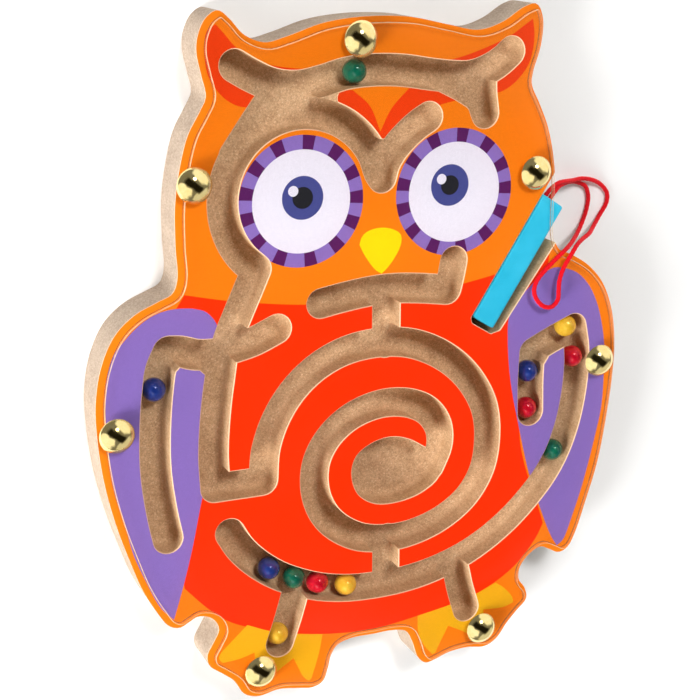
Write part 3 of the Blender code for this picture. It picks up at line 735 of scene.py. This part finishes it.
def inkMaterial():
    # Printed colours from the sheet's own colour attribute, darkened towards the ears by painted
    # shade, with faint print grain and smudges.
    made, tree, place = newMaterial("printedFace")
    ink = addNode(tree, "VertexColor", layer_name="ink").outputs["Color"]
    grain = addNode(tree, "TexNoise", [("Vector", place)], Scale=1400, Detail=3)
    marks = placeGroup(tree, smudgeNodes, [("Vector", place)], Scale=55)
    colour = mixColour(tree, None, ink, rescale(tree, grain, 0.3, 0.7, 0.93, 1.0), "MULTIPLY")
    rough = rescale(tree, marks, 0, 1, 0.36, 0.5)
    bump = addNode(tree, "Bump", [("Height", grain)], Strength=0.12, Distance=0.00005)
    shader = addNode(tree, "BsdfPrincipled", [("Base Color", colour), ("Roughness", rough),
                                              ("Normal", bump)], Specular_IOR_Level=0.3)
    return finishMaterial(made, shader)


def handledMaterial(name, scale, tones, rough, bump=None, **finish):
    # A smooth finish whose colour and gloss follow its handling marks.
    made, tree, place = newMaterial(name)
    marks = placeGroup(tree, smudgeNodes, [("Vector", place)], Scale=scale)
    links = [("Base Color", ramp(tree, marks, [(0.0, tones[0]), (1.0, tones[1])])),
             ("Roughness", rescale(tree, marks, 0, 1, *rough))]
    if bump:
        links.append(("Normal", addNode(tree, "Bump", [("Height", marks.outputs["Height"])],
                                        Strength=bump[0], Distance=bump[1])))
    return finishMaterial(made, addNode(tree, "BsdfPrincipled", links, **finish))


def makeBoardAndFace():
    points, triangles, held, kinds, gauge = layOut()

    def inside(*names):
        return held[:, np.isin(kinds, names)].any(1)

    level = np.zeros(len(triangles), int)
    level[inside("wall")] = 1
    level[inside("slot")] = 2
    level[inside("hole")] = 3
    level[~inside("outline")] = -1
    corner = board["corner"]
    lean = 1 - (wallDistance(points, triangles, level) / corner).clip(0, 1)
    flat = np.ones(len(points))
    heights = [flat * board["top"], board["floor"] + corner * (1 - np.sqrt(1 - lean ** 2)),
               flat * board["slotFloor"], flat * board["holeFloor"]]
    solid, faces, sizes = steppedSolid(points, triangles, level, heights, 0, 0.3)
    which = np.repeat([0, 0, 1, 1, 1], sizes)
    routed = fibreMaterial("routedFibreboard", ((170, 130, 92), (238, 202, 160)),
                           ((176, 138, 98), (224, 190, 150)), 0.5)
    sawn = fibreMaterial("sawnFibreboardEdge", ((166, 138, 110), (206, 180, 152)),
                         ((148, 128, 110), (196, 176, 156)), 0.6)
    piece = buildMesh("routedBoard", solid, faces, "board", "mdf", [routed, sawn], which, sharp=38)
    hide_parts("base_board")
    print(f"board of {sum(sizes)} faces made")

    paper = np.where((level == 0) & ~inside("bare"), 0, -1)
    slotEdge = fromLine(points, slotRing(), closed=True)
    band = board["rim"] - board["wall"]
    near = np.minimum(np.maximum(gauge - board["wall"], 0), slotEdge) / band
    face = board["sheetRim"] + (board["sheetTop"] - board["sheetRim"]) * near.clip(0, 1)
    solid, faces, sizes = steppedSolid(points, triangles, paper, [face], board["sheetBottom"], 0.0)
    shades = np.array([linear(inks[name[4:]]) for name in kinds if name.startswith("ink ")])
    printed = held[:, np.char.startswith(kinds, "ink ")]
    last = printed.shape[1] - 1 - printed[:, ::-1].argmax(1)
    ink = np.where(printed.any(1)[:, None], shades[last], linear(inks["orange"]))
    # Painted shade: the print is darkened towards the top of the head, standing in for light
    # falling off there.
    middle = points[triangles].mean(1)[:, 1]
    span = inks["paintedTopShadeSpan"]
    ink[:, :3] *= 1 - inks["paintedTopShade"] * ((middle - span) / span).clip(0, 1)[:, None]
    ink[inside("rim", "slotRim")] = linear(inks["rim"])
    cut = 4 * sum(sizes[1:4]) + 3 * sizes[4]       # corners on the sheet's walls and back
    rows = np.vstack([np.repeat(ink[paper == 0], 3, 0), np.tile(linear(inks["rim"]), (cut, 1))])
    piece = buildMesh("facePrint", solid, faces, "board", "print", [inkMaterial()], sharp=20)
    layer = piece.data.color_attributes.new("ink", "FLOAT_COLOR", "CORNER")
    layer.data.foreach_set("color", rows.astype(np.float32).reshape(-1))
    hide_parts("face_sheet")
    print(f"printed face of {sum(sizes)} faces made")


makeBoardAndFace()

# ---- clear cover, held a little in from the board's edge

cover = {"inset": 1.5, "shift": 0.4, "bottom": 12.1, "top": 13.6, "edge": 0.22, "hole": 1.25,
         "step": 1.1, "holeSides": 24}


def coverMaterial(name, strength):
    # Clear sheet: light goes straight through, and its face only mirrors the room.
    made, tree, place = newMaterial(name)
    marks = placeGroup(tree, smudgeNodes, [("Vector", place)], Scale=30)
    through = addNode(tree, "BsdfTransparent", Color=(0.995, 0.995, 0.995, 1))
    mirror = addNode(tree, "BsdfGlossy", [("Roughness", rescale(tree, marks, 0, 1, 0.03, 0.12))])
    sheen = addNode(tree, "Fresnel", IOR=1.42)
    shadow = addNode(tree, "LightPath").outputs["Is Shadow Ray"]
    share = combine(tree, "MULTIPLY", sheen, combine(tree, "SUBTRACT", strength, shadow),
                    use_clamp=True)
    return finishMaterial(made, addNode(tree, "MixShader", [(0, share), (1, through),
                                                            (2, mirror)]))


def coverEdgeMaterial(name, dark, light, opacity):
    # A frosted tint over clear for the sheet's edge: the top line's cream band is a painted
    # highlight and the foot line's brown band is painted shade.
    made, tree, place = newMaterial(name)
    frost = addNode(tree, "TexNoise", [("Vector", place)], Scale=700, Detail=4)
    colour = ramp(tree, frost, [(0.3, dark), (0.7, light)])
    through = addNode(tree, "BsdfTransparent", Color=(0.99, 0.97, 0.94, 1))
    shader = addNode(tree, "BsdfPrincipled", [("Base Color", colour)], Roughness=0.35)
    return finishMaterial(made, addNode(tree, "MixShader", [(1, through), (2, shader)],
                                        Fac=opacity))


def makeCover():
    # The sheet's outline is carried round a section with rounded edges, and both flat sides are
    # filled round the nail holes.
    outline = smoothLine(board["outline"], cover["step"], closed=True)
    outline = outline if polygonArea(outline) > 0 else outline[::-1]
    inwards = leftOf(outline, closed=True)
    edge, turn = cover["edge"], np.radians([0, 30, 60, 90])
    inset = np.r_[edge * (1 - np.sin(turn)), edge * (1 - np.sin(turn[::-1]))] + cover["inset"]
    height = np.r_[cover["bottom"] + edge * (1 - np.cos(turn)),
                   cover["top"] - edge * (1 - np.cos(turn[::-1]))]
    rings = outline[None] + inwards[None] * inset[:, None, None] + (cover["shift"], 0)
    rows, around = rings.shape[:2]
    skin = np.concatenate([rings, np.repeat(height[:, None, None], around, 1)], 2).reshape(-1, 3)
    sides = cover["holeSides"]
    holes = [circle(nail, cover["hole"], sides) for nail in board["nails"]]
    flat, rimCount = np.vstack([rings[0], *holes]), sides * len(holes)
    loops = [list(range(around))] + [list(range(at, at + sides))
                                     for at in range(around, around + rimCount, sides)]
    made = delaunay_2d_cdt([Vector(p) for p in flat.tolist()], [], loops, 0, 1e-5, True)
    source = np.array([ids[0] for ids in made[3]])
    triangles = source[np.array([tri for tri, ids in zip(made[2], made[5]) if ids == [0]])]
    faceUp(flat, triangles)
    tail = rows * around
    low = np.where(triangles < around, triangles, triangles - around + tail)
    high = low + np.where(triangles < around, tail - around, rimCount)
    rims = [np.column_stack([flat[around:], np.full(rimCount, cover[side])])
            for side in ("bottom", "top")]
    spot = np.arange(sides)
    after = (spot + 1) % sides
    bore = [np.stack([after, spot, spot + rimCount, after + rimCount], 1) + at
            for at in range(tail, tail + rimCount, sides)]
    faces = [gridFaces(rows, around, closeColumns=True), low[:, ::-1], high, *bore]
    which = np.repeat([3, 3, 3, 2, 1, 1, 1] + [4, 0] + [2] * len(holes),
                      [around] * 7 + [len(block) for block in faces[1:]])
    looks = [coverMaterial("clearSheet", 0.95),
             # painted highlight: a cream band along the top edge of the sheet
             coverEdgeMaterial("coverTopPaintedHighlight", (236, 190, 140), (250, 220, 184), 0.55),
             coverEdgeMaterial("coverSide", (236, 206, 170), (250, 228, 200), 0.08),
             # painted shade: a brown band along the foot of the sheet's edge
             coverEdgeMaterial("coverFootPaintedShade", (120, 84, 52), (170, 124, 80), 0.6),
             coverMaterial("clearSheetUnderside", 0.3)]
    piece = buildMesh("clearCoverSheet", np.vstack([skin, *rims]), faces, "board", "clear", looks,
                      which, sharp=25)
    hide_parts("clear_cover")
    print("clear cover made")


makeCover()

# ---- domed nails

nail = {"radius": 4.7, "rise": 2.7, "wall": 0.6, "seat": 13.7, "shank": 0.8, "tip": 4.6,
        "point": 1.6, "clear": 0.02, "sides": 48,
        "blunt": (0.25, 0.2),          # the point's end: its share of the shank, and its rise
        "under": (0.06, 9), "over": (0.02, 22),     # radians short of the rim, and points
        "lip": [(0.42, 0.06), (0.24, 0), (0.06, 0.07)], "lipHeight": 0.1}   # in, and up


def nailProfile():
    # Shank up to a hollow cap: both faces of the cap are arcs about one centre, and a small
    # half-round lip joins them.
    ball = (nail["radius"] ** 2 + nail["rise"] ** 2) / (2 * nail["rise"])
    middle = nail["seat"] + nail["rise"] - ball
    inner = ball - nail["wall"]
    rim = math.asin(nail["radius"] / ball)
    within = np.linspace(math.asin(nail["shank"] / inner), rim - nail["under"][0],
                         nail["under"][1])
    over = np.linspace(rim - nail["over"][0], 0, nail["over"][1])
    share, rise = nail["blunt"]
    shank = [(0, nail["tip"]), (nail["shank"] * share, nail["tip"] + rise),
             (nail["shank"], nail["tip"] + nail["point"])]
    low = nail["seat"] + nail["clear"]
    lip = [(nail["radius"] - less, low + up) for less, up in nail["lip"]]
    under = np.stack([inner * np.sin(within), middle + inner * np.cos(within)], 1)
    above = np.stack([ball * np.sin(over), middle + ball * np.cos(over)], 1)
    under = under[under[:, 1] > low + nail["lipHeight"]]
    above = above[above[:, 1] > low + nail["lipHeight"]]
    return np.vstack([shank, under, lip, above])


def makeNails():
    brass = handledMaterial("polishedBrass", 420, ((255, 236, 170), (250, 224, 146)),
                            (0.07, 0.16), (0.05, 0.0001), Metallic=1.0)
    for k, spot in enumerate(board["nails"], 1):
        piece = buildMesh(f"domedNail{k}", *lathe(nailProfile(), spot, nail["sides"]), "board",
                          "brass", [brass], sharp=50)
        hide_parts(f"dome_nail_{k}")
    print("nails made")


makeNails()

# ---- steel balls, painted

ball = {"radius": 3.175, "height": 8.425, "sides": 40, "rings": 25, "spots": {
    "green_1": (-4.3, 77.6), "blue_1": (-60.4, -0.8), "blue_2": (-29.8, -56.7),
    "green_2": (-22.4, -60.8), "red_1": (-15.3, -63.6), "yellow_1": (-6.7, -65.9),
    "yellow_2": (-27.5, -77), "yellow_3": (61.9, 2.3), "red_2": (64.5, -7.2),
    "blue_3": (49.7, -9.8), "red_3": (49.8, -20.9), "green_3": (59.2, -35.2)},
    "paint": {"green": ((10, 92, 72), (22, 122, 92)), "blue": ((26, 48, 124), (42, 70, 156)),
              "red": ((196, 12, 38), (226, 24, 52)), "yellow": ((238, 186, 44), (255, 212, 72))}}


def makeBalls():
    paints = {name: handledMaterial(name + "BallPaint", 480, tones, (0.12, 0.24), Metallic=0.25,
                                    Coat_Weight=0.6, Coat_Roughness=0.08)
              for name, tones in ball["paint"].items()}
    turn = np.linspace(-math.pi / 2, math.pi / 2, ball["rings"])
    profile = np.stack([ball["radius"] * np.cos(turn),
                        ball["height"] + ball["radius"] * np.sin(turn)], 1)
    for name, spot in ball["spots"].items():
        tone = name.split("_")[0]
        piece = buildMesh("ball" + name.title().replace("_", ""),
                          *lathe(profile, spot, ball["sides"]), "ball_" + name, tone,
                          [paints[tone]])
        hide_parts("ball_" + name)
    print("balls made")


makeBalls()

# ---- magnet pen


def barRadius(turn, wide, high, corner):
    # Distance from the middle of a rounded rectangle to its edge at each angle: an upright side,
    # a level side, or the far crossing of the ray with the corner's circle.
    c, s = np.abs(np.cos(turn)), np.abs(np.sin(turn))
    flank, top = wide / np.maximum(c, 1e-9), high / np.maximum(s, 1e-9)
    along = c * (wide - corner) + s * (high - corner)
    seat = (wide - corner) ** 2 + (high - corner) ** 2 - corner ** 2
    bend = along + np.sqrt(np.maximum(along ** 2 - seat, 0))
    level = np.where(top * c <= wide - corner, top, bend)
    return np.where(flank * s <= high - corner, flank, level)


def penRings(stations, around):
    # Rings across the pen at each (along, half width, half height, corner): where there is no
    # corner the ring is a circle.
    turn = np.linspace(0, 2 * math.pi, around, endpoint=False) + math.pi / around
    rings = []
    for along, wide, high, corner in stations:
        radius = barRadius(turn, wide, high, corner) if corner else np.full(around, wide)
        rings.append(penPoint(np.full(around, along), radius * np.cos(turn), radius * np.sin(turn)))
    return np.stack(rings)


def makePen():
    wide, high, edge, length = pen["width"] / 2, pen["height"] / 2, pen["edge"], pen["length"]
    turn = np.radians([0, 22, 45, 67, 90])
    nose = [(edge * (1 - math.cos(t)), edge * (1 - math.sin(t))) for t in turn]
    body = [(along, wide - less, high - less, edge) for along, less in nose]
    body += [(along, wide, high, edge) for along in np.linspace(edge + 2, length - edge - 2, 12)]
    body += [(length - along, wide - less, high - less, edge) for along, less in nose[::-1]]
    gap = pen["magnetGap"]
    pocket, mouth = pen["magnetLength"] + gap, pen["magnetRadius"] + gap
    deep, hole = length - pen["holeDepth"], pen["holeRadius"]
    share, ease, (deepEase, wideEase) = pen["seatShare"], pen["holeEase"], pen["mouthEase"]
    foot = [(pocket, mouth * share), (pocket, mouth), (deepEase, mouth), (0, mouth + wideEase)]
    head = [(length, hole + ease), (length - ease, hole), (deep, hole), (deep, hole * share)]
    foot, head = ([(along, size, size, 0) for along, size in part] for part in (foot, head))
    rings = penRings(foot + body + head, pen["sides"])
    cyan = handledMaterial("cyanPaintedBar", 160, ((38, 186, 220), (56, 200, 234)), (0.38, 0.55),
                           (0.2, 0.0002))
    piece = buildMesh("penBar", *closedRings(rings, penPoint(pocket, 0), penPoint(deep, 0)), "pen",
                      "cyan", [cyan], sharp=40)
    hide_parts("pen_body")
    size, long, front = pen["magnetRadius"], pen["magnetLength"], pen["magnetFront"]
    first, last = pen["magnetEase"]
    shape = [(front, size - first), (front + first, size), (long - last, size),
             (long, size - last)]
    rings = penRings([(along, radius, radius, 0) for along, radius in shape],
                     pen["magnetSides"])
    plated = handledMaterial("platedMagnet", 700, ((150, 150, 156), (188, 188, 194)), (0.2, 0.4),
                             Metallic=1.0)
    piece = buildMesh("penMagnet", *closedRings(rings, penPoint(front, 0), penPoint(long, 0)),
                      "pen", "steel", [plated], sharp=40)
    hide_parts("pen_magnet")
    print("pen and magnet made")


makePen()

# ---- studio: pale floor and soft lights

studio = {
    "floor": 5.0, "floorRows": 25, "floorDrop": 0.05, "dust": ((248, 248, 248), (252, 252, 252)),
    "lights": [
        {"name": "lowKey", "from": (-0.85, -0.38, 0.34), "away": 0.9, "size": 0.45,
         "power": 11.5},
        {"name": "overhead", "from": (0.12, 0.58, 0.8), "away": 0.9, "size": 0.25, "power": 3.2}],
    "world": 0.2, "ripple": 0.4, "rippleScale": 1.7,
    "walls": (255, 253, 250), "ceilingStrip": (64, 58, 40),
    "stripAcross": (0.61, 0.79, 0),       # level direction across the ceiling's dark strip
    "stripEdge": (0.36, 0.22), "stripRise": (0.5, 0.68),
    "cards": [                            # bright cards in the room; only the last one is crisp
        {"from": (-0.75, -0.5, 0.45), "outer": 0.76, "inner": 0.84, "gain": 0.95},
        {"from": (0.75, 0.6, 0.3), "outer": 0.74, "inner": 0.84, "gain": 0.85},
        {"from": (0.6, -0.75, 0.25), "outer": 0.84, "inner": 0.9, "gain": 0.5},
        {"from": (0.12, 0.58, 0.8), "outer": 0.988, "inner": 0.994, "gain": 10}]}


def makeLights():
    # Lamps light the piece but are not mirrored in it: the room's cards give the reflections.
    for light in studio["lights"]:
        lamp = bpy.data.lights.new(light["name"], "AREA")
        lamp.shape, lamp.size, lamp.energy = "DISK", light["size"], light["power"]
        place = Vector(light["from"]).normalized() * light["away"]
        piece = bpy.data.objects.new(light["name"], lamp)
        piece.visible_glossy = False
        piece.matrix_world = (Matrix.Translation(place)
                              @ place.to_track_quat("Z", "Y").to_matrix().to_4x4())
        scene.collection.objects.link(piece)


def pointing(tree, direction, source):
    # How far the source points along a direction.
    made = addNode(tree, "VectorMath", [(0, source)], operation="DOT_PRODUCT")
    made.inputs[1].default_value = direction
    return made.outputs["Value"]


def makeRoom():
    # A soft room: even walls, a dark strip across the ceiling and bright cards, all but the crisp
    # one bent by slow noise.
    world = bpy.data.worlds.new("softRoom")
    scene.world = world
    world.use_nodes = True
    tree = world.node_tree
    tree.nodes.clear()
    ahead = addNode(tree, "TexCoord").outputs["Generated"]
    ripple = addNode(tree, "TexNoise", [("Vector", ahead)], Scale=studio["rippleScale"], Detail=1)
    bend = addNode(tree, "VectorMath", [(0, ripple.outputs["Color"])], operation="MULTIPLY_ADD")
    bend.inputs[1].default_value = (studio["ripple"],) * 3
    bend.inputs[2].default_value = (-studio["ripple"] / 2,) * 3
    look = addNode(tree, "VectorMath", [(0, ahead), (1, bend)], operation="ADD").outputs[0]
    rise = addNode(tree, "SeparateXYZ", [("Vector", look)]).outputs["Z"]
    aside = addNode(tree, "Math", [(0, pointing(tree, studio["stripAcross"], look))],
                    operation="ABSOLUTE")
    dark = combine(tree, "MULTIPLY", rescale(tree, aside, *studio["stripEdge"]),
                   rescale(tree, rise, *studio["stripRise"]))
    tone = addNode(tree, "Mix", [("Factor", dark)], data_type="RGBA")
    tone.inputs[6].default_value = linear(studio["walls"])
    tone.inputs[7].default_value = linear(studio["ceilingStrip"])
    level = studio["world"]
    for card in studio["cards"]:
        seen = ahead if card is studio["cards"][-1] else look
        towards = pointing(tree, Vector(card["from"]).normalized(), seen)
        level = combine(tree, "ADD", level,
                        rescale(tree, towards, card["outer"], card["inner"], 0, card["gain"]))
    glow = addNode(tree, "Background", [("Color", tone.outputs[2]), ("Strength", level)])
    tree.links.new(glow.outputs[0], addNode(tree, "OutputWorld").inputs["Surface"])


def makeFloor():
    rows = studio["floorRows"]
    across = np.linspace(-1, 1, rows) * studio["floor"] / mm
    x, y = np.meshgrid(across, across)
    ground = np.stack([x, y, np.full_like(x, -studio["floorDrop"])], -1).reshape(-1, 3)
    made, tree, place = newMaterial("paleFloor")
    dust = addNode(tree, "TexNoise", [("Vector", place)], Scale=40, Detail=3)
    colour = ramp(tree, dust, [(0.3, studio["dust"][0]), (0.7, studio["dust"][1])])
    finishMaterial(made, addNode(tree, "BsdfPrincipled", [("Base Color", colour)], Roughness=0.8))
    floor = buildMesh("paleFloor", ground, [gridFaces(rows, rows)], None, None, [made])


makeLights()
makeRoom()
makeFloor()
scene.view_settings.view_transform = "Standard"
print("studio set")

# ---- clearing away the default objects

for name in ("Cube", "Light", "Camera"):
    if name in bpy.data.objects:
        bpy.data.objects.remove(bpy.data.objects[name])
